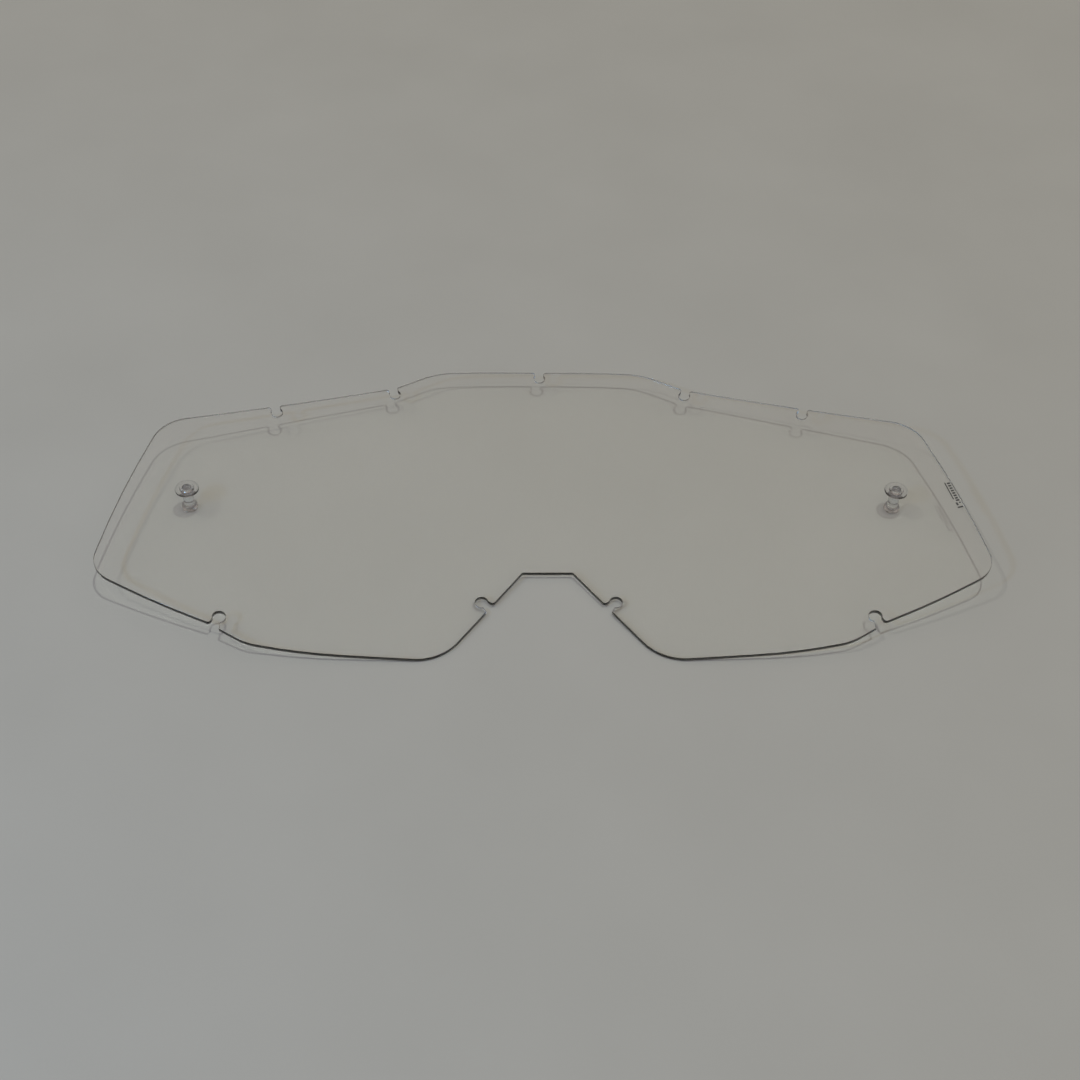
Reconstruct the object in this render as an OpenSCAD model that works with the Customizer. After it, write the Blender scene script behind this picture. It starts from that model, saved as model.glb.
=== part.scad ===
// Clear motocross goggle lens with two tear-off posts, resting outer face down on a level surface.
// X runs from post to post, +Y towards the brow edge, +Z up, and z = 0 is the surface it rests on.

/* [Lens outline] */
// Overall width from side tip to side tip
lens_w = 176; // [172:1:176]
// Height from the lower edge of the lobes to the brow edge
lens_h = 79.1; // [79.1:0.1:82]
// Height of the two side tips above the lower edge
tip_h = 18.5; // [16:0.5:18.5]
// Width of the nose cut-out across its flat top
nose_top_w = 10; // [8:0.5:12]
// Width of the nose cut-out between the ends of its slanted walls
nose_base_w = 41.8; // [38:0.2:45]
// Height of the nose cut-out
nose_h = 21.6; // [19:0.1:24]

/* [Sheet] */
// Thickness of the polycarbonate sheet
sheet_t = 0.8; // [0.6:0.1:1.2]
// Radius of the sheet's gentle curl, at mid thickness
curl_r = 807; // [700:1:1000]
// Tilt of the lens about X as it rests, brow edge up, in degrees
rest_tilt = 2.7; // [2.4:0.1:3.0]

/* [Keyholes] */
// Diameter of the round end of a brow keyhole
brow_key_d = 2.4; // [2:0.1:3]
// Depth of a brow keyhole's centre below the edge
brow_key_depth = 1.85; // [1.5:0.05:2.2]
// Diameter of the round end of a lower keyhole
lower_key_d = 2.54; // [2:0.02:3]
// Depth of a lower keyhole's centre below the edge
lower_key_depth = 2.1; // [1.8:0.05:2.4]
// Width of a keyhole's mouth
mouth_w = 1.9; // [1.5:0.1:1.9]
// Radius of a keyhole's rounded lips
lip_r = 0.6; // [0.3:0.1:0.8]
// Slant of the nose keyholes' sharp side, in degrees
sharp_slant = 25; // [10:1:30]

/* [Tear-off posts] */
// Distance between the two post axes
post_spacing = 145; // [140:1:150]
// Height of the posts above the lens's lower edge
post_h = 40.75; // [39:0.25:44]
// Diameter of a post's mushroom head
head_d = 3.2; // [3:0.1:3.8]
// Height of a post's mushroom head
head_h = 1.3; // [1:0.1:1.8]
// Diameter of a post's stem
stem_d = 2.2; // [1.9:0.1:2.6]
// Diameter of the collar that seats on the outer face
collar_d = 2.8; // [2.6:0.1:3.4]
// Diameter of the spigot that passes through the sheet into the cap
spigot_d = 1.8; // [1.4:0.1:2]
// Diameter of the cap on the inner face
cap_d = 4.8; // [4:0.1:6]
// Thickness of the cap at its middle
cap_t = 0.6; // [0.4:0.1:1]

/* [Hidden] */
$fn = 96;
curl_fn = 2400;
over = 1;
spigot_gap = 0.05;
seat_gap = 0.01;
edge_r = 0.25;
arc_step = 5;
lip_steps = 6;
collar_h = 0.5;
blank_h = 9;

half_w = lens_w / 2;
outer_r = curl_r + sheet_t / 2;
inner_r = curl_r - sheet_t / 2;

// Right half of the outline, clockwise from the brow: [x, y, fillet radius] at each corner.
// A keyhole's mouth takes the place of a corner that is cut away.
cut_away = -1;
corners = [
    [13, lens_h, 150],
    [22.5, lens_h - 0.7, 14.9],
    [31.5, lens_h - 5.8, cut_away],
    [half_w - 8.5, lens_h - 19.4, 9.1],
    [half_w - 2.6, tip_h + 21.1, 235],
    [half_w + 0.63, tip_h, 6.3],
    [half_w - 13, 11.4, 190],
    [64, 7, cut_away],
    [62.7, 5.9, 0],
    [57.6, 2.9, 11.7],
    [47.6, 1.1, 115],
    [nose_base_w / 2, 0, 10],
    [nose_top_w / 2, nose_h, 0.5]
];
path = concat([[0, lens_h]], [for (c = corners) [c.x, c.y]], [[0, nose_h]]);

function unit(a, b) = (b - a) / norm(b - a);
function heading(k) = atan2(path[k + 1].y - path[k].y, path[k + 1].x - path[k].x);
function inward(k) = let (d = unit(path[k], path[k + 1])) [d.y, -d.x];
function turn(k) = heading(k - 1) - heading(k) - 360 * round((heading(k - 1) - heading(k)) / 360);
function fillet_r(k) = corners[k - 1][2];
function arc_start(k) = path[k] - unit(path[k - 1], path[k]) * fillet_r(k) * tan(abs(turn(k)) / 2);
function arc_centre(k) = arc_start(k) + inward(k - 1) * fillet_r(k) * sign(turn(k));
function arc_point(k, t) = let (
    a = heading(k - 1) - turn(k) * t + 90 * sign(turn(k))
) arc_centre(k) + fillet_r(k) * [cos(a), sin(a)];
function arc_steps(k) = ceil(abs(turn(k)) / arc_step) + 1;
function corner_points(k) =
    fillet_r(k) == cut_away ? [] :
    fillet_r(k) == 0 ? [path[k]] : [for (i = [0 : arc_steps(k)]) arc_point(k, i / arc_steps(k))];
function along(k, s) = path[k] + unit(path[k], path[k + 1]) * s;

// Keyhole mouths, with the edge along x, the outside at +y and the round end's centre below [0, 0].
// A lip rounds the wall into the edge, which from x = bend on may rise at an angle.
function lip(rise = 0, bend = 0) = let (
    x = mouth_w / 2 + lip_r,
    y = ((x - bend) * sin(rise) - lip_r) / cos(rise)
) [for (i = [0 : lip_steps]) let (a = 180 - (90 - rise) * i / lip_steps) [x, y] + lip_r * [cos(a), sin(a)]];
function mirrored(points) = [for (i = [len(points) - 1 : -1 : 0]) [-points[i].x, points[i].y]];
function half_brow_mouth(rise = 0, bend = 0) = concat([[mouth_w / 2, -brow_key_depth]], lip(rise, bend));
brow_mouth = concat(mirrored(half_brow_mouth()), half_brow_mouth());

// The innermost one of the brow stands at the step of the brow edge
step_at = 0.6;
step_mouth = concat(mirrored(half_brow_mouth(-turn(3), step_at)), half_brow_mouth());

// Lower ones have a rounded lip on one side only, and their other wall ends in a sharp corner.
// Beside the cheek, that is the outline's own next corner.
neck = [-mouth_w * 0.42, mouth_w / 2 - lower_key_depth];
lower_mouth = concat([neck, [neck.x, -lower_key_depth], [mouth_w / 2, -lower_key_depth]], lip());
sharp_corner = [neck.x + neck.y * tan(sharp_slant), 0];

// Keyholes of the right half: [segment of the outline, distance along it, mouth, depth, diameter]
keyholes = [
    [3, step_at, step_mouth, brow_key_depth, brow_key_d],
    [3, 26.4, brow_mouth, brow_key_depth, brow_key_d],
    [7, 12.1, mirrored(lower_mouth), lower_key_depth, lower_key_d],
    [12, 16, concat([sharp_corner], lower_mouth), lower_key_depth, lower_key_d]
];

function on_edge(k, s, p) = along(k, s) + p.x * unit(path[k], path[k + 1]) - p.y * inward(k);
function mouths(k) = [for (h = keyholes) if (h[0] == k) for (p = h[2]) on_edge(k, h[1], p)];

half_outline = concat(
    [for (p = half_brow_mouth()) p + [0, lens_h]],
    [for (k = [1 : len(corners)]) for (p = concat(corner_points(k), mouths(k))) p]
);

// How far the sheet's outer face stands above its lowest line at x, before the rest tilt
function curl_rise(x) = outer_r - sqrt(outer_r * outer_r - x * x);

// The lens rests where the inner ends of its lobes come lowest
lobe_turn = 27.5;
lobe_c = arc_centre(12);
lobe_low = lobe_c + fillet_r(12) * [-sin(lobe_turn), -cos(lobe_turn)];
rest_lift = -lobe_low.y * sin(rest_tilt) - (curl_rise(lobe_low.x) - sheet_t / 2) * cos(rest_tilt);

// ... and is centred front to back: from the foremost point of its lobes to its brow edge
lobe_under = curl_rise(lobe_c.x) + sheet_t / 2;
lobe_front = (lobe_c.y - fillet_r(12)) * cos(rest_tilt) - lobe_under * sin(rest_tilt);
rest_back = -(lobe_front + lens_h * cos(rest_tilt) + sheet_t / 2 * sin(rest_tilt)) / 2;

// The posts stand upright, and their length is what holds the lens at this tilt
post_x = post_spacing / 2;
post_y = rest_back + post_h * cos(rest_tilt) - curl_rise(post_x) * sin(rest_tilt);
seat_z = rest_lift + post_h * sin(rest_tilt) + (curl_rise(post_x) - sheet_t / 2) * cos(rest_tilt);

module at_rest() {
    translate([0, rest_back, rest_lift]) rotate([rest_tilt, 0, 0]) children();
}

// The curled sheet before it is cut to its outline: a slice of a thin tube, drawn out along Y
module curled_blank() {
    length = lens_h + 2 * over;
    translate([0, lens_h + over, 0]) rotate([90, 0, 0]) linear_extrude(height = length) intersection() {
        translate([0, curl_r]) difference() {
            circle(r = outer_r, $fn = curl_fn);
            circle(r = inner_r, $fn = curl_fn);
        }
        translate([-half_w - over, -over]) square([lens_w + 2 * over, blank_h]);
    }
}

// Stands its children on the sheet at a post, with z = 0 on the outer face and square to the sheet there
module on_sheet(side) {
    slope = asin(post_x / curl_r);
    at_rest() translate([side * post_x, post_h, curl_r * (1 - cos(slope))])
        rotate([0, -side * slope, 0]) translate([0, 0, -sheet_t / 2]) children();
}

// A cutter through the whole blank
module cutter() {
    translate([0, 0, -over]) linear_extrude(height = blank_h) children();
}

module key_bore(d) {
    cutter() circle(d = d);
}

module key_bores() {
    translate([0, lens_h - brow_key_depth]) key_bore(brow_key_d);
    for (h = keyholes) {
        centre = on_edge(h[0], h[1], [0, -h[3]]);
        for (side = [-1, 1]) translate([side * centre.x, centre.y]) key_bore(h[4]);
    }
}

module lens() {
    color("gainsboro", 0.35) difference() {
        at_rest() difference() {
            intersection() {
                cutter() polygon(concat(half_outline, mirrored(half_outline)));
                curled_blank();
            }
            key_bores();
        }
        for (side = [-1, 1])
            translate([side * post_x, post_y, 0]) cylinder(d = spigot_d + 2 * spigot_gap, h = 4 * seat_z);
    }
}

// A slab on the sheet's own slope, from height a to b above its outer face
module seat_slab(side, a, b) {
    on_sheet(side) translate([-cap_d, -cap_d, a]) cube([2 * cap_d, 2 * cap_d, b - a]);
}

// Half profile of a post below the sheet: foot, mushroom head, stem and collar
module post_profile() {
    foot_r = head_d / 2 - edge_r;
    square([foot_r, head_h]);
    translate([0, edge_r]) square([head_d / 2, head_h - 2 * edge_r]);
    for (y = [edge_r, head_h - edge_r]) translate([foot_r, y]) circle(r = edge_r);
    square([stem_d / 2, seat_z + over]);
    translate([0, seat_z - collar_h]) square([collar_d / 2, collar_h + over]);
}

module tear_off_post(side) {
    color("whitesmoke", 0.5) {
        difference() {
            translate([side * post_x, post_y, 0]) rotate_extrude() post_profile();
            seat_slab(side, -seat_gap, 3 * over);
        }
        spigot_h = collar_h + sheet_t + cap_t;
        translate([side * post_x, post_y, seat_z - collar_h]) cylinder(d = spigot_d, h = spigot_h);
    }
}

module post_cap(side) {
    color("whitesmoke", 0.5) difference() {
        translate([side * post_x, post_y, seat_z]) difference() {
            cylinder(d = cap_d, h = sheet_t + cap_t);
            translate([0, 0, -over]) cylinder(d = spigot_d, h = sheet_t + cap_t + 2 * over);
        }
        seat_slab(side, -over, sheet_t + seat_gap);
    }
}

lens();
tear_off_post(-1);  // left_tear_off_post
tear_off_post(1);  // right_tear_off_post
post_cap(-1);  // left_post_cap
post_cap(1);  // right_post_cap
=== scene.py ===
"""Clear motocross goggle lens with two tear-off posts, lying outer face down on a plain pale table."""

import math

import bmesh
import bpy
from mathutils import Matrix, Vector


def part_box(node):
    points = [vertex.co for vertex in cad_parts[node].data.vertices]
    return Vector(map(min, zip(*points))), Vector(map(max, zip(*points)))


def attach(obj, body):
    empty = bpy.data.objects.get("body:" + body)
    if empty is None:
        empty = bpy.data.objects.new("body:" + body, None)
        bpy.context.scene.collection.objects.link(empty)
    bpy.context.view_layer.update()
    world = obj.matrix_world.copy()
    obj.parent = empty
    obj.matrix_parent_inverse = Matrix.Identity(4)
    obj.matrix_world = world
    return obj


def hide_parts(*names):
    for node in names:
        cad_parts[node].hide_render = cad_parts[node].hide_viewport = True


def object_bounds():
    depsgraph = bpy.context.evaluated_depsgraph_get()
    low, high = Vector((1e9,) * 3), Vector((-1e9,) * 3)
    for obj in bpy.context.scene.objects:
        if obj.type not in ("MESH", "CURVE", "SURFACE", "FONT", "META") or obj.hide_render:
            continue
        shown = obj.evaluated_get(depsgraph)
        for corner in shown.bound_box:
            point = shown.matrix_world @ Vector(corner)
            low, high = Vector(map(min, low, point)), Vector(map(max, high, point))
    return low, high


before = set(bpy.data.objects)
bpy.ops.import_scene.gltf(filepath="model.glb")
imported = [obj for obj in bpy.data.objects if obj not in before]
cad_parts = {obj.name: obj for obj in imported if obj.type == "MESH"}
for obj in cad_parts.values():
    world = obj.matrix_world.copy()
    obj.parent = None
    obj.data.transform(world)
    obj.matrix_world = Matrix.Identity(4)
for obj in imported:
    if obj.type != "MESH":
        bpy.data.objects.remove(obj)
cad_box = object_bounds()
MM = 0.001

# --------------------------------------------------------------------------------------------------
# Driving sizes of the object, in millimetres, as in the CAD source
# --------------------------------------------------------------------------------------------------
LENS_W = 176.0
LENS_H = 79.1
TIP_H = 18.5
NOSE_TOP_W = 10.0
NOSE_BASE_W = 41.8
NOSE_H = 21.6
SHEET_T = 0.8
CURL_R = 807.0
REST_TILT = math.radians(2.7)
BROW_KEY_D = 2.4
BROW_KEY_DEPTH = 1.85
LOWER_KEY_D = 2.54
LOWER_KEY_DEPTH = 2.1
MOUTH_W = 1.9
LIP_R = 0.6
SHARP_SLANT = math.radians(25)
# The -x wall of a lower keyhole passes through NECK, a point just inside its round end.
NECK_SHARE = 0.42
NECK = Vector((-MOUTH_W * NECK_SHARE, MOUTH_W / 2 - LOWER_KEY_DEPTH))
HEAD_D = 3.2
HEAD_H = 1.3
STEM_D = 2.2
COLLAR_D = 2.8
COLLAR_H = 0.5
SPIGOT_D = 1.8
CAP_D = 4.8
CAP_T = 0.6


# --------------------------------------------------------------------------------------------------
# Outline of the lens
# --------------------------------------------------------------------------------------------------
HALF_W = LENS_W / 2
# Right half, clockwise from the brow: x, y, fillet radius. A keyhole takes the place of a CUT_AWAY corner.
CUT_AWAY = -1
CORNERS = [
    (13, LENS_H, 150),
    (22.5, LENS_H - 0.7, 14.9),
    (31.5, LENS_H - 5.8, CUT_AWAY),
    (HALF_W - 8.5, LENS_H - 19.4, 9.1),
    (HALF_W - 2.6, TIP_H + 21.1, 235),
    (HALF_W + 0.63, TIP_H, 6.3),
    (HALF_W - 13, 11.4, 190),
    (64, 7, CUT_AWAY),
    (62.7, 5.9, 0),
    (57.6, 2.9, 11.7),
    (47.6, 1.1, 115),
    (NOSE_BASE_W / 2, 0, 10),
    (NOSE_TOP_W / 2, NOSE_H, 0.5),
]
CORNER_STEP = math.radians(2)
LIP_STEP = math.radians(9)
BORE_STEP = math.radians(6)
# How far the middle of each keyhole is past the corner before it, along the edge. The inner brow keyhole, at
# STEP_AT, straddles its corner.
STEP_AT = 0.6
OUTER_BROW_KEY_AT = 26.4
CHEEK_KEY_AT = 12.1
NOSE_KEY_AT = 16


def arc(centre, radius, start, sweep, step):
    """Points along an arc, both ends included."""
    count = max(2, math.ceil(abs(sweep) / step)) + 1
    angles = (start + sweep * i / (count - 1) for i in range(count))
    return [centre + radius * Vector((math.cos(a), math.sin(a))) for a in angles]


def fillet(before, corner, after, radius, step):
    """The points that round a corner, or the corner itself where the radius is 0."""
    if radius == CUT_AWAY:
        return []
    if radius == 0:
        return [corner]
    into = (corner - before).normalized()
    out = (after - corner).normalized()
    turn = -into.angle_signed(out)
    side = math.copysign(1, turn)
    start = corner - into * radius * math.tan(abs(turn) / 2)
    centre = start + Vector((-into.y, into.x)) * radius * side
    first = math.atan2(into.y, into.x) - math.pi / 2 * side
    return arc(centre, radius, first, turn, step)


def lip(rise=0, bend=0):
    """The rounded lip on the +x side of a mouth, from its wall to the edge, which rises from x = bend on."""
    x = MOUTH_W / 2 + LIP_R
    y = ((x - bend) * math.sin(rise) - LIP_R) / math.cos(rise)
    return arc(Vector((x, y)), LIP_R, math.pi, rise - math.pi / 2, LIP_STEP)


def mirrored(points):
    """The points on the other side of x = 0, in reverse, so that the outline still runs clockwise."""
    return [Vector((-p.x, p.y)) for p in reversed(points)]


def half_brow_keyhole(rise=0, bend=0):
    """The +x half of a brow keyhole: the round end from its lowest point, then the wall and the lip."""
    r = BROW_KEY_D / 2
    last = math.acos(MOUTH_W / 2 / r)
    return arc(Vector((0, -BROW_KEY_DEPTH)), r, -math.pi / 2, math.pi / 2 + last, BORE_STEP) + lip(rise, bend)


def brow_keyhole(rise=0, bend=0):
    """A whole brow keyhole. Only its -x lip follows an edge that rises."""
    return mirrored(half_brow_keyhole(rise, bend)) + half_brow_keyhole()[1:]


def meet_circle(start, toward, centre, radius):
    """Where the line from a point inside a circle leaves it."""
    along = (toward - start).normalized()
    from_centre = start - centre
    b = from_centre.dot(along)
    return start + along * (math.sqrt(b * b + radius * radius - from_centre.length_squared) - b)


def lower_keyhole(corner):
    """A lower keyhole: a slanted wall from the corner on the -x side, a rounded lip on the +x side."""
    r = LOWER_KEY_D / 2
    centre = Vector((0, -LOWER_KEY_DEPTH))
    meet = meet_circle(NECK, corner, centre, r)
    first = math.atan2(meet.y - centre.y, meet.x)
    last = math.acos(MOUTH_W / 2 / r)
    return arc(centre, r, first, 2 * math.pi + last - first, BORE_STEP) + lip()


def half_outline():
    """The right half, clockwise, from the middle of the brow's keyhole to the nose."""
    path = [Vector((0, LENS_H))] + [Vector(c[:2]) for c in CORNERS] + [Vector((0, NOSE_H))]
    headings = [(b - a).angle_signed(Vector((1, 0))) for a, b in zip(path, path[1:])]
    sharp = Vector((NECK.x + NECK.y * math.tan(SHARP_SLANT), 0))
    wall_end = Vector((NECK.x, 0))
    keyholes = {  # by the number of the corner before: distance past it, and shape
        3: [
            (STEP_AT, brow_keyhole(headings[3] - headings[2], STEP_AT)),
            (OUTER_BROW_KEY_AT, brow_keyhole()),
        ],
        7: [(CHEEK_KEY_AT, mirrored(lower_keyhole(wall_end)))],
        12: [(NOSE_KEY_AT, [sharp] + lower_keyhole(sharp))],
    }
    points = [p + Vector((0, LENS_H)) for p in half_brow_keyhole()]
    for k in range(1, len(CORNERS) + 1):
        points += fillet(path[k - 1], path[k], path[k + 1], CORNERS[k - 1][2], CORNER_STEP)
        forward = (path[k + 1] - path[k]).normalized()
        outward = Vector((-forward.y, forward.x))
        for distance, shape in keyholes.get(k, []):
            origin = path[k] + forward * distance
            points += [origin + forward * p.x + outward * p.y for p in shape]
    return points


def outline():
    """The whole closed outline, clockwise."""
    half = half_outline()
    return half + mirrored(half)[:-1]


# --------------------------------------------------------------------------------------------------
# The lens: a sheet with a slightly rounded cut edge, curled and laid down
# --------------------------------------------------------------------------------------------------
EDGE_R = 0.09
EDGE_STEPS = 3
EDGE_ZONE = 0.3
STRIP_W = 2.0
MITRE_LIMIT = 0.4
WELD_DISTANCE = 1e-4
CUT_DISTANCE = 1e-5
# Material slots. The cut edge is painted in two tones: painted shade on its upper part, painted light on its
# lower part.
FACE, RIM_PAINTED_SHADE, RIM_PAINTED_LIGHT, ZONE, PRINT = range(5)
RIM_PAINTED_SHADE_SHARE = 0.5
# The maker's print is left out. A row of plain bars stands in its place, along the edge by the right tip.
PRINT_FROM = Vector((83.2, 42.4))
PRINT_TO = Vector((84.65, 35.1))
PRINT_H = 0.012
PRINT_LIFT = 0.002
PRINT_BARS = [  # start and length along the row, then its near side and width across, in millimetres
    (0.0, 4.8, -0.62, 0.22),
    (5.05, 0.4, -0.2, 0.75),
    (5.8, 0.8, -0.5, 0.4),
    (5.8, 0.3, 0.2, 0.35),
    (6.95, 0.4, -0.55, 1.1),
] + [(0.2 + 0.7 * i, 0.42, -0.12, 0.62) for i in range(7)]


def inset(points, distance):
    """The closed clockwise outline moved inwards and mitred. An edge that would turn over is closed up."""
    moved = []
    for before, here, after in zip(points[-1:] + points[:-1], points, points[1:] + points[:1]):
        a = (here - before).normalized()
        b = (after - here).normalized()
        inward_a = Vector((a.y, -a.x))
        inward_b = Vector((b.y, -b.x))
        middle = (inward_a + inward_b).normalized()
        moved.append(here + middle * distance / max(middle.dot(inward_a), MITRE_LIMIT))
    for i, point in enumerate(points):
        if (moved[i] - moved[i - 1]).dot(point - points[i - 1]) < 0:
            moved[i] = moved[i - 1] = (moved[i] + moved[i - 1]) / 2
    return moved


def edge_profile():
    """(inset, height) pairs from the inner face, down the cut edge, to the outer face."""
    angles = [math.pi / 2 * (1 - i / EDGE_STEPS) for i in range(EDGE_STEPS + 1)]
    quarter = [(EDGE_R * (1 - math.cos(a)), SHEET_T / 2 - EDGE_R * (1 - math.sin(a))) for a in angles]
    half = [(EDGE_ZONE, SHEET_T / 2)] + quarter
    wall = SHEET_T - 2 * EDGE_R
    split = (0, wall / 2 - wall * RIM_PAINTED_SHADE_SHARE)
    return half + [split] + [(i, -h) for i, h in reversed(half)]


def curled(p):
    """A point of the flat sheet on the curled one. The ends rise, and x stays as it was cut."""
    radius = CURL_R - p.z
    return Vector((p.x, p.y, CURL_R - math.sqrt(radius * radius - p.x * p.x)))


def add_sheet(bm):
    """The flat sheet: two faces, and between them the bands of the edge."""
    points = outline()
    rings = []
    for distance, height in edge_profile():
        rings.append([bm.verts.new((p.x, p.y, height)) for p in inset(points, distance)])
    count = len(points)
    bands = [ZONE] + [RIM_PAINTED_SHADE] * (EDGE_STEPS + 1) + [RIM_PAINTED_LIGHT] * (EDGE_STEPS + 1) + [ZONE]
    for upper, lower, band in zip(rings, rings[1:], bands):
        for i in range(count):
            j = (i + 1) % count
            bm.faces.new((upper[i], upper[j], lower[j], lower[i])).material_index = band
    bm.faces.new(list(reversed(rings[0])))
    bm.faces.new(rings[-1])
    bmesh.ops.remove_doubles(bm, verts=bm.verts[:], dist=WELD_DISTANCE)


def add_print(bm):
    """The bars of the print, each a thin closed block just above the inner face."""
    forward = (PRINT_TO - PRINT_FROM).normalized()
    across = Vector((-forward.y, forward.x))
    base = SHEET_T / 2 + PRINT_LIFT
    for start, length, first, width in PRINT_BARS:
        end, last = start + length, first + width
        corners = [(start, first), (end, first), (end, last), (start, last)]
        flat = [PRINT_FROM + forward * u + across * v for u, v in corners]
        lower = [bm.verts.new((p.x, p.y, base)) for p in flat]
        upper = [bm.verts.new((p.x, p.y, base + PRINT_H)) for p in flat]
        sides = [(lower[i - 1], lower[i], upper[i], upper[i - 1]) for i in range(4)]
        for block_side in sides + [lower, upper]:
            bm.faces.new(block_side).material_index = PRINT


def make_lens():
    """The sheet, cut into strips so that it bends, and its print, both curled, tilted and laid down."""
    bm = bmesh.new()
    add_sheet(bm)
    strips = math.ceil(HALF_W / STRIP_W)
    for i in range(-strips + 1, strips):
        geometry = bm.verts[:] + bm.edges[:] + bm.faces[:]
        place = (i * STRIP_W, 0, 0)
        bmesh.ops.bisect_plane(bm, geom=geometry, plane_co=place, plane_no=(1, 0, 0), dist=CUT_DISTANCE)
    add_print(bm)
    for v in bm.verts:
        v.co = curled(v.co)
    bmesh.ops.recalc_face_normals(bm, faces=bm.faces[:])
    bm.transform(Matrix.Rotation(REST_TILT, 4, "X"))
    bm.transform(Matrix.Scale(MM, 4))
    low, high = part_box("lens")
    ys = [v.co.y for v in bm.verts]
    lowest = min(v.co.z for v in bm.verts)
    bm.transform(Matrix.Translation((0, (low.y + high.y - min(ys) - max(ys)) / 2, low.z - lowest)))
    materials = [clear_sheet(), rim_painted_shade(), rim_painted_light(), edge_zone(), grey_print()]
    return new_piece("clear_lens_sheet", bm, "lens", materials)


# --------------------------------------------------------------------------------------------------
# Posts and caps
# --------------------------------------------------------------------------------------------------
TURN_STEPS = 72
PROFILE_STEP = math.radians(15)
DIMPLE = 0.12
# A cap clears its spigot by CAP_GAP and the sheet by CAP_LIFT. Its rim is CAP_STEP lower than its middle.
CAP_GAP = 0.03
CAP_LIFT = 0.04
CAP_STEP = 0.22
# Where a cap's rim starts, in millimetres from its middle. From here out its tint is painted shade.
CAP_RIM_PAINTED_SHADE_FROM = 2.0


def turned(profile, origin):
    """A bmesh of a closed half profile of (radius, height) in millimetres turned about +Z at origin."""
    bm = bmesh.new()
    rings = []
    for radius, height in profile:
        if radius == 0:
            rings.append([bm.verts.new((0, 0, height))])
            continue
        angles = [2 * math.pi * i / TURN_STEPS for i in range(TURN_STEPS)]
        rings.append([bm.verts.new((radius * math.cos(a), radius * math.sin(a), height)) for a in angles])
    for a, b in zip(rings, rings[1:] + rings[:1]):
        for i in range(TURN_STEPS):
            j = (i + 1) % TURN_STEPS
            corners = [a[i % len(a)], a[j % len(a)], b[j % len(b)], b[i % len(b)]]
            unique = list(dict.fromkeys(corners))
            if len(unique) > 2:
                bm.faces.new(unique)
    bmesh.ops.recalc_face_normals(bm, faces=bm.faces[:])
    bm.transform(Matrix.Translation(origin) @ Matrix.Scale(MM, 4))
    return bm


def rounded(profile):
    """Rounds the corners of a half profile given as (radius, height, rounding)."""
    points = [Vector(p[:2]) for p in profile]
    after = points[1:] + points[:1]
    return [
        tuple(q)
        for i, p in enumerate(profile)
        for q in fillet(points[i - 1], points[i], after[i], p[2], PROFILE_STEP)
    ]


def make_post(side):
    """A post: head, stem, collar and spigot, with a shallow dimple in each end."""
    low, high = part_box(side + "_tear_off_post")
    origin = Vector(((low.x + high.x) / 2, (low.y + high.y) / 2, low.z))
    top = (high.z - low.z) / MM
    under_sheet = top - SHEET_T - CAP_T
    profile = rounded([
        (0, DIMPLE, 0),
        (0.55, 0.05, 0.3),
        (0.75, 0, 0.2),
        (HEAD_D / 2, 0, 0.3),
        (HEAD_D / 2, HEAD_H - 0.1, 0.4),
        (STEM_D / 2, HEAD_H, 0.15),
        (STEM_D / 2, under_sheet - COLLAR_H, 0.15),
        (COLLAR_D / 2, under_sheet - COLLAR_H, 0.12),
        (COLLAR_D / 2, under_sheet - 0.06, 0.04),
        (SPIGOT_D / 2, under_sheet - 0.02, 0),
        (SPIGOT_D / 2, top, 0.1),
        (0.45, top, 0.1),
        (0, top - DIMPLE, 0),
    ])
    bm = turned(profile, origin)
    return new_piece(side + "_post", bm, side + "_tear_off_post", [clear_post()])


def make_cap(side):
    """A cap: a ring round the spigot with a raised middle and a rounded rim, just clear of the sheet."""
    low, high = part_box(side + "_post_cap")
    origin = Vector(((low.x + high.x) / 2, (low.y + high.y) / 2, high.z))
    profile = rounded([
        (SPIGOT_D / 2 + CAP_GAP, 0, 0.04),
        (1.35, 0, 0.1),
        (1.5, -0.2, 0.15),
        (2.0, -0.16, 0.2),
        (CAP_D / 2, -CAP_STEP, 0.18),
        (CAP_D / 2, CAP_LIFT - CAP_T, 0.04),
        (SPIGOT_D / 2 + CAP_GAP, CAP_LIFT - CAP_T, 0),
    ])
    bm = turned(profile, origin)
    # Faces out past the rim radius take the second material, whose darker tint is painted shade.
    for face in bm.faces:
        out = face.calc_center_median() - origin
        face.material_index = int(math.hypot(out.x, out.y) > CAP_RIM_PAINTED_SHADE_FROM * MM)
    return new_piece(side + "_cap", bm, side + "_post_cap", [clear_cap(), cap_rim_painted_shade()])


# --------------------------------------------------------------------------------------------------
# Materials
# --------------------------------------------------------------------------------------------------
NOISE_LOW, NOISE_HIGH = 0.3, 0.7
HAZE_SCALE = 90
INK_SCALE = 3000
MOTTLE_SCALE = 25
GRAIN_SCALE = 1200
GRAIN_STRENGTH = 0.25
GRAIN_DEPTH = 0.0001
POLYCARBONATE_IOR = 1.585
MOULDED_IOR = 1.5
SHEET_TINT = (0.99, 0.992, 0.985)
SHEET_ROUGHNESS = (0.0, 0.02)
MOULDED_ROUGHNESS = (0.02, 0.06)
MOULDED_SHADE = (0.7, 0.69, 0.7)
SMOOTH_UNDER = math.radians(40)


def node_material(name):
    material = bpy.data.materials.new(name)
    material.use_nodes = True
    material.node_tree.nodes.clear()
    return material, material.node_tree.nodes, material.node_tree.links


def noise(nodes, links, scale, detail):
    """A noise texture in the piece's own metres."""
    place = nodes.new("ShaderNodeTexCoord")
    texture = nodes.new("ShaderNodeTexNoise")
    texture.inputs["Scale"].default_value = scale
    texture.inputs["Detail"].default_value = detail
    links.new(place.outputs["Object"], texture.inputs["Vector"])
    return texture.outputs["Fac"]


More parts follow.
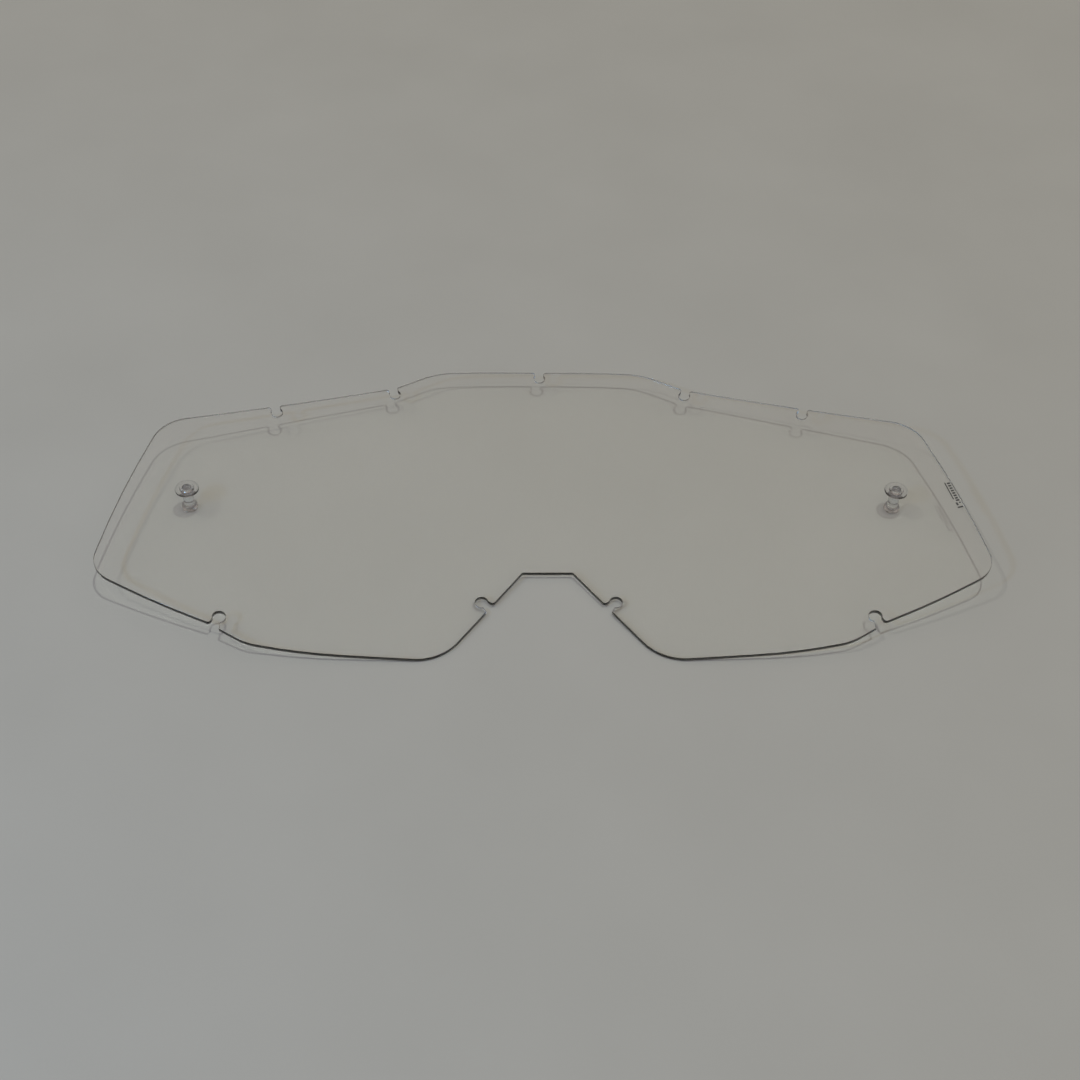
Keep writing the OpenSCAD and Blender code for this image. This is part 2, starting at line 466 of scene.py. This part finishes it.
def between(nodes, links, fac, low, high):
    """The middle of a noise's range, spread from low to high."""
    spread = nodes.new("ShaderNodeMapRange")
    spread.inputs["From Min"].default_value = NOISE_LOW
    spread.inputs["From Max"].default_value = NOISE_HIGH
    spread.inputs["To Min"].default_value = low
    spread.inputs["To Max"].default_value = high
    links.new(fac, spread.inputs["Value"])
    return spread.outputs["Result"]


def mottled(nodes, links, fac, dark, light):
    """Two close colours mixed by a noise."""
    ramp = nodes.new("ShaderNodeValToRGB")
    ramp.color_ramp.elements[0].position = NOISE_LOW
    ramp.color_ramp.elements[1].position = NOISE_HIGH
    ramp.color_ramp.elements[0].color = (*dark, 1)
    ramp.color_ramp.elements[1].color = (*light, 1)
    links.new(fac, ramp.inputs["Fac"])
    return ramp.outputs["Color"]


def rough_bump(nodes, links, scale, strength, distance):
    """A fine grain on a surface."""
    bump = nodes.new("ShaderNodeBump")
    bump.inputs["Strength"].default_value = strength
    bump.inputs["Distance"].default_value = distance
    links.new(noise(nodes, links, scale, 4), bump.inputs["Height"])
    return bump.outputs["Normal"]


def clear_plastic(name, tint, roughness, shade, ior):
    """Clear plastic that lets lamp and room light through with a loss at each face, for a pale shadow."""
    material, nodes, links = node_material(name)
    output = nodes.new("ShaderNodeOutputMaterial")
    glass = nodes.new("ShaderNodeBsdfPrincipled")
    glass.inputs["Base Color"].default_value = (*tint, 1)
    glass.inputs["IOR"].default_value = ior
    glass.inputs["Transmission Weight"].default_value = 1
    haze = between(nodes, links, noise(nodes, links, HAZE_SCALE, 5), *roughness)
    links.new(haze, glass.inputs["Roughness"])
    through = nodes.new("ShaderNodeBsdfTransparent")
    through.inputs["Color"].default_value = (*shade, 1)
    path = nodes.new("ShaderNodeLightPath")
    seen = glass
    for kind in ("Is Diffuse Ray", "Is Shadow Ray"):
        mix = nodes.new("ShaderNodeMixShader")
        links.new(path.outputs[kind], mix.inputs[0])
        links.new(seen.outputs[0], mix.inputs[1])
        links.new(through.outputs[0], mix.inputs[2])
        seen = mix
    links.new(seen.outputs[0], output.inputs["Surface"])
    return material


def clear_sheet():
    shade = (0.985, 0.985, 0.975)
    return clear_plastic("clear_polycarbonate", SHEET_TINT, SHEET_ROUGHNESS, shade, POLYCARBONATE_IOR)


def edge_zone():
    """The sheet just inside its cut edge, where the light is led away and the shadow has a dark line."""
    shade = (0.3, 0.29, 0.29)
    return clear_plastic("polycarbonate_by_the_edge", SHEET_TINT, SHEET_ROUGHNESS, shade, POLYCARBONATE_IOR)


def rim_painted_shade():
    """The upper part of the cut edge, tinted dark as painted shade for the dark line that the edge shows."""
    tint = (0.46, 0.43, 0.41)
    shade = (0.3, 0.3, 0.31)
    return clear_plastic("cut_edge_painted_shade", tint, (0.14, 0.2), shade, POLYCARBONATE_IOR)


def rim_painted_light():
    """The lower part of the cut edge, duller, and tinted paler as painted light for the light that comes
    through the edge.
    """
    tint = (0.74, 0.72, 0.7)
    shade = (0.5, 0.5, 0.5)
    return clear_plastic("cut_edge_painted_light", tint, (0.38, 0.52), shade, POLYCARBONATE_IOR)


def clear_post():
    tint = (0.85, 0.87, 0.9)
    return clear_plastic("clear_moulded_plastic", tint, MOULDED_ROUGHNESS, MOULDED_SHADE, MOULDED_IOR)


def clear_cap():
    tint = (0.96, 0.96, 0.97)
    return clear_plastic("clear_moulded_cap", tint, MOULDED_ROUGHNESS, MOULDED_SHADE, MOULDED_IOR)


def cap_rim_painted_shade():
    """The rounded rim of a cap, tinted darker than the middle as painted shade for the dark ring it shows. It
    sends the lamps' light aside and draws a darker ring in its shadow.
    """
    tint = (0.8, 0.8, 0.82)
    shade = (0.4, 0.39, 0.4)
    return clear_plastic("clear_moulded_rim_painted_shade", tint, MOULDED_ROUGHNESS, shade, MOULDED_IOR)


def grey_print():
    material, nodes, links = node_material("grey_print")
    output = nodes.new("ShaderNodeOutputMaterial")
    ink = nodes.new("ShaderNodeBsdfPrincipled")
    fac = noise(nodes, links, INK_SCALE, 3)
    links.new(mottled(nodes, links, fac, (0.04, 0.04, 0.042), (0.09, 0.09, 0.093)), ink.inputs["Base Color"])
    ink.inputs["Roughness"].default_value = 0.55
    links.new(ink.outputs[0], output.inputs["Surface"])
    return material


def table_paint():
    material, nodes, links = node_material("pale_table")
    output = nodes.new("ShaderNodeOutputMaterial")
    paint = nodes.new("ShaderNodeBsdfPrincipled")
    fac = noise(nodes, links, MOTTLE_SCALE, 6)
    colour = mottled(nodes, links, fac, (0.605, 0.605, 0.585), (0.635, 0.635, 0.615))
    links.new(colour, paint.inputs["Base Color"])
    links.new(between(nodes, links, fac, 0.6, 0.7), paint.inputs["Roughness"])
    grain = rough_bump(nodes, links, GRAIN_SCALE, GRAIN_STRENGTH, GRAIN_DEPTH)
    links.new(grain, paint.inputs["Normal"])
    links.new(paint.outputs[0], output.inputs["Surface"])
    return material


# --------------------------------------------------------------------------------------------------
# Building and placing
# --------------------------------------------------------------------------------------------------
def new_piece(name, bm, node, materials):
    """A piece that stands for one CAD node, with smooth faces and crisp edges."""
    mesh = bpy.data.meshes.new(name)
    bm.to_mesh(mesh)
    bm.free()
    for material in materials:
        mesh.materials.append(material)
    mesh.shade_smooth()
    mesh.set_sharp_from_angle(angle=SMOOTH_UNDER)
    piece = bpy.data.objects.new(name, mesh)
    bpy.context.scene.collection.objects.link(piece)
    weighted = piece.modifiers.new("weighted_normals", "WEIGHTED_NORMAL")
    weighted.keep_sharp = True
    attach(piece, "root")
    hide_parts(node)
    return piece


make_lens()
for side in ("left", "right"):
    make_post(side)
    make_cap(side)

# --------------------------------------------------------------------------------------------------
# Table, light and camera
# --------------------------------------------------------------------------------------------------
# In metres, from the origin, which is in the middle of the object's footprint on the table.
FLOOR_HALF_W = 3
FLOOR_DROP = 0.00002
# The room's light grows from the first ROOM_STRENGTH to the second as a direction's z goes through ROOM_RISE.
ROOM_COLOUR = (1, 0.86, 0.75, 1)
ROOM_RISE = (0.15, 0.75)
ROOM_STRENGTH = (0.08, 0.315)
LAMPS = [  # name, direction from the origin, distance and radius in metres, watts, colour
    ("ceiling_lamp", (0.145, 0.08, 0.986), 3.8, 0.03, 91, (0.94, 1, 0.91)),
    ("ceiling_lamp_left", (-0.56, 0.09, 0.82), 3.9, 0.035, 45, (0.99, 1, 0.88)),
    ("cool_lamp_left", (-0.6, -0.477, 0.643), 0.56, 0.02, 1.6, (0.32, 0.59, 1)),
]
VIEW_AZIMUTH = math.radians(-3.94)
VIEW_ELEVATION = math.radians(46.5)
VIEW_ROLL = math.radians(2.928)
VIEW_DISTANCE = 0.3235
VIEW_TARGET = Vector((-0.00114, -0.00770, 0))
VIEW_LENS = 53.109
VIEW_SENSOR = 36
VIEW_CLIP = (0.01, 20)


def make_floor():
    """A plain table, a hair below the object so that the two never share a face."""
    bm = bmesh.new()
    bmesh.ops.create_grid(bm, x_segments=1, y_segments=1, size=FLOOR_HALF_W)
    mesh = bpy.data.meshes.new("floor")
    bm.to_mesh(mesh)
    bm.free()
    mesh.materials.append(table_paint())
    floor = bpy.data.objects.new("floor", mesh)
    bpy.context.scene.collection.objects.link(floor)
    floor.location.z = cad_box[0].z - FLOOR_DROP


def lamp(name, direction, distance, radius, power, colour):
    """A small round lamp at a distance from the origin."""
    light = bpy.data.lights.new(name, "POINT")
    light.energy = power
    light.color = colour
    light.shadow_soft_size = radius
    thing = bpy.data.objects.new(name, light)
    thing.location = Vector(direction).normalized() * distance
    bpy.context.scene.collection.objects.link(thing)


def make_light():
    """A warm room, dark towards the horizon, with two lamps at the ceiling and a small cool one nearby."""
    world = bpy.data.worlds.new("room")
    world.use_nodes = True
    nodes = world.node_tree.nodes
    links = world.node_tree.links
    place = nodes.new("ShaderNodeTexCoord")
    axes = nodes.new("ShaderNodeSeparateXYZ")
    rise = nodes.new("ShaderNodeMapRange")
    rise.interpolation_type = "SMOOTHSTEP"
    rise.inputs["From Min"].default_value, rise.inputs["From Max"].default_value = ROOM_RISE
    rise.inputs["To Min"].default_value, rise.inputs["To Max"].default_value = ROOM_STRENGTH
    room = nodes["Background"]
    room.inputs["Color"].default_value = ROOM_COLOUR
    links.new(place.outputs["Generated"], axes.inputs[0])
    links.new(axes.outputs["Z"], rise.inputs["Value"])
    links.new(rise.outputs["Result"], room.inputs["Strength"])
    bpy.context.scene.world = world
    for row in LAMPS:
        lamp(*row)


def make_camera():
    """The camera at the photo's angle."""
    data = bpy.data.cameras.new("camera")
    data.lens = VIEW_LENS
    data.sensor_width = VIEW_SENSOR
    data.clip_start, data.clip_end = VIEW_CLIP
    camera = bpy.data.objects.new("camera", data)
    turn = Matrix.Rotation(VIEW_AZIMUTH, 4, "Z") @ Matrix.Rotation(math.pi / 2 - VIEW_ELEVATION, 4, "X")
    roll = Matrix.Rotation(VIEW_ROLL, 4, "Z")
    back = Matrix.Translation((0, 0, VIEW_DISTANCE))
    camera.matrix_world = Matrix.Translation(VIEW_TARGET) @ turn @ roll @ back
    bpy.context.scene.collection.objects.link(camera)
    bpy.context.scene.camera = camera


make_floor()
make_light()
make_camera()
bpy.context.scene.view_settings.view_transform = "Standard"
